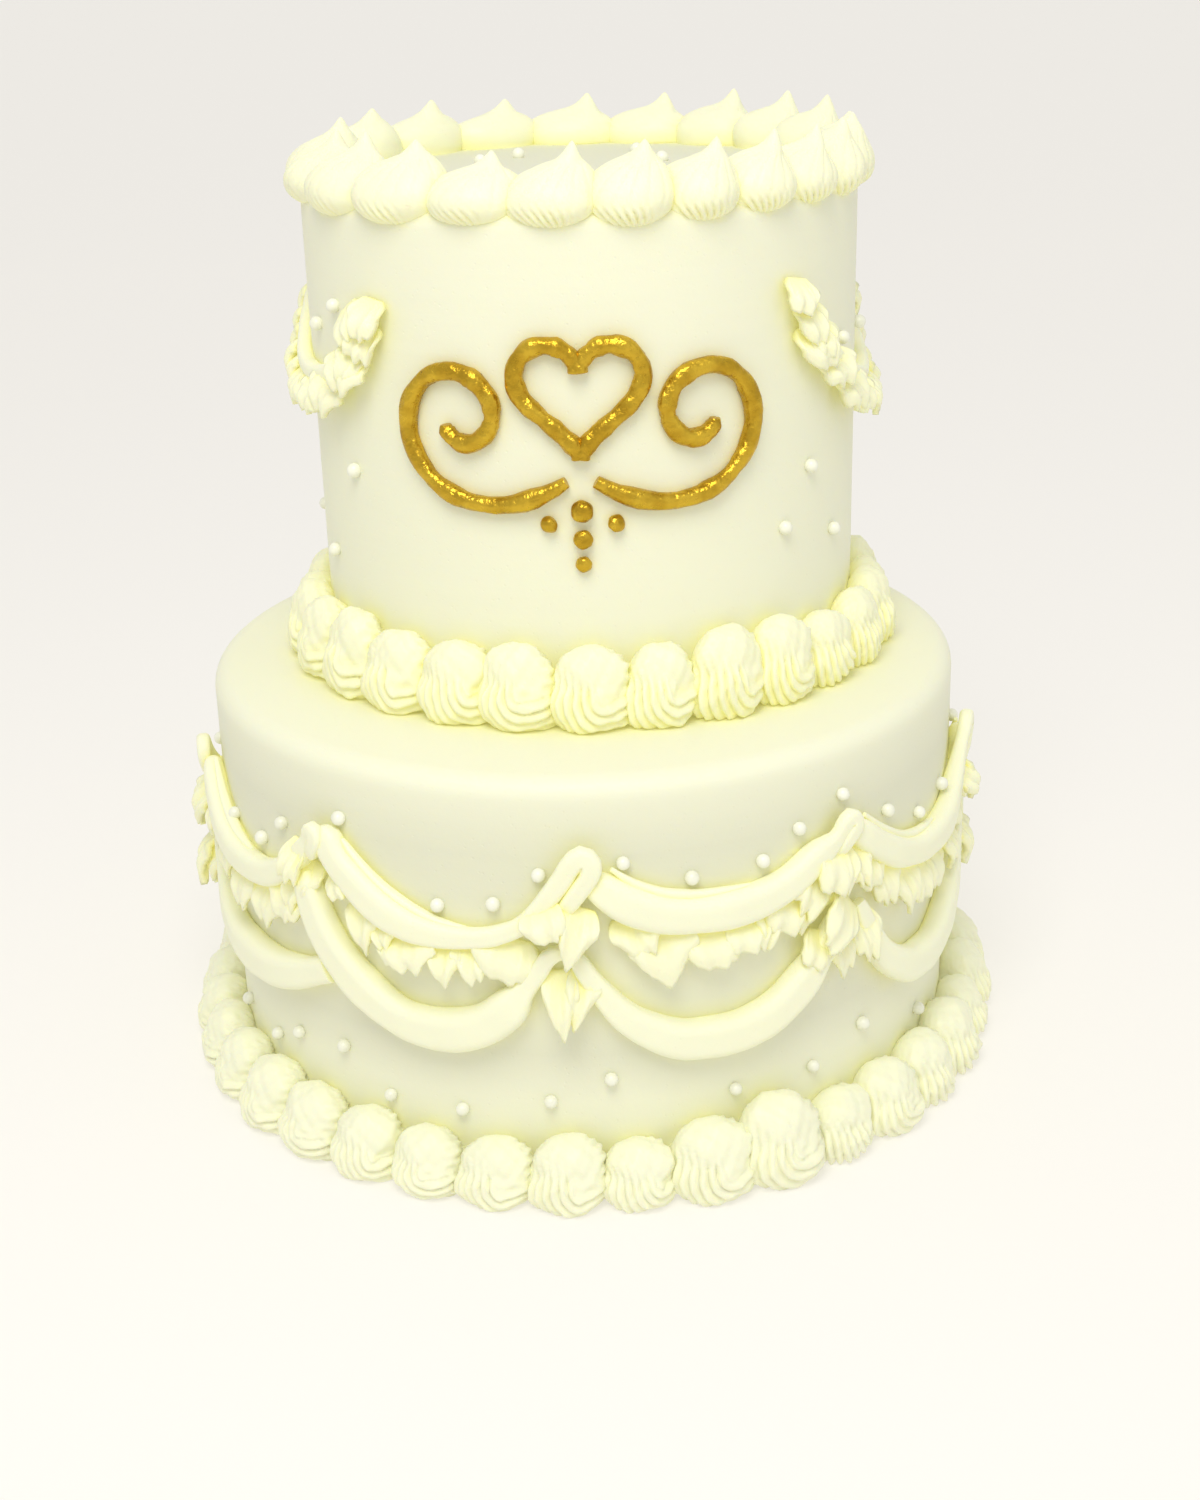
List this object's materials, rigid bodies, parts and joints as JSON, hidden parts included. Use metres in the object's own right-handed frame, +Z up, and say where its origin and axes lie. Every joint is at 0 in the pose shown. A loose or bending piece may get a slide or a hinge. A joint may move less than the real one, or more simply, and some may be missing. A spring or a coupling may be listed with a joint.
{
  "type": "birthday cake",
  "caption": "Two-tier round birthday cake in ivory buttercream with piped shell borders, ruffled swags, sugar pearls and a gold piped heart with scrolls on the front",
  "frame": {"origin": "centre of the flat base of the lower tier", "axes": "+Z up, -Y is the front with the gold piping, +X is to the right when looking at the front"},
  "size_m": [0.2444, 0.2446, 0.2629],
  "materials": {
    "tier_icing": "smooth ivory buttercream, matt with a soft sheen",
    "piped_icing": "piped ivory buttercream, soft sheen",
    "gold_paint": "edible gold paint over piped icing, glossy and uneven",
    "sugar_pearl": "pearly white sugar balls, satin"
  },
  "bodies": {
    "root": {"lower_tier": "tier_icing", "upper_tier": "tier_icing", "base_border": "piped_icing", "middle_border": "piped_icing", "top_border": "piped_icing", "swag_rope_1": "piped_icing", "swag_ruffle_1": "piped_icing", "lower_rope_1": "piped_icing", "rosette_1": "piped_icing", "swag_rope_2": "piped_icing", "swag_ruffle_2": "piped_icing", "lower_rope_2": "piped_icing", "rosette_2": "piped_icing", "swag_rope_3": "piped_icing", "swag_ruffle_3": "piped_icing", "lower_rope_3": "piped_icing", "rosette_3": "piped_icing", "swag_rope_4": "piped_icing", "swag_ruffle_4": "piped_icing", "lower_rope_4": "piped_icing", "rosette_4": "piped_icing", "swag_rope_5": "piped_icing", "swag_ruffle_5": "piped_icing", "lower_rope_5": "piped_icing", "rosette_5": "piped_icing", "swag_rope_6": "piped_icing", "swag_ruffle_6": "piped_icing", "lower_rope_6": "piped_icing", "rosette_6": "piped_icing", "swag_rope_7": "piped_icing", "swag_ruffle_7": "piped_icing", "lower_rope_7": "piped_icing", "rosette_7": "piped_icing", "swag_rope_8": "piped_icing", "swag_ruffle_8": "piped_icing", "lower_rope_8": "piped_icing", "rosette_8": "piped_icing", "swag_rope_9": "piped_icing", "swag_ruffle_9": "piped_icing", "lower_rope_9": "piped_icing", "rosette_9": "piped_icing", "upper_rope_1": "piped_icing", "upper_ruffle_1": "piped_icing", "upper_rope_2": "piped_icing", "upper_ruffle_2": "piped_icing", "upper_rope_3": "piped_icing", "upper_ruffle_3": "piped_icing", "upper_rope_4": "piped_icing", "upper_ruffle_4": "piped_icing", "upper_rope_5": "piped_icing", "upper_ruffle_5": "piped_icing", "gold_heart": "gold_paint", "gold_scroll_left": "gold_paint", "gold_scroll_right": "gold_paint", "gold_drop_1": "gold_paint", "gold_drop_2": "gold_paint", "gold_drop_3": "gold_paint", "gold_drop_4": "gold_paint", "gold_drop_5": "gold_paint"}
  },
  "joints": []
}
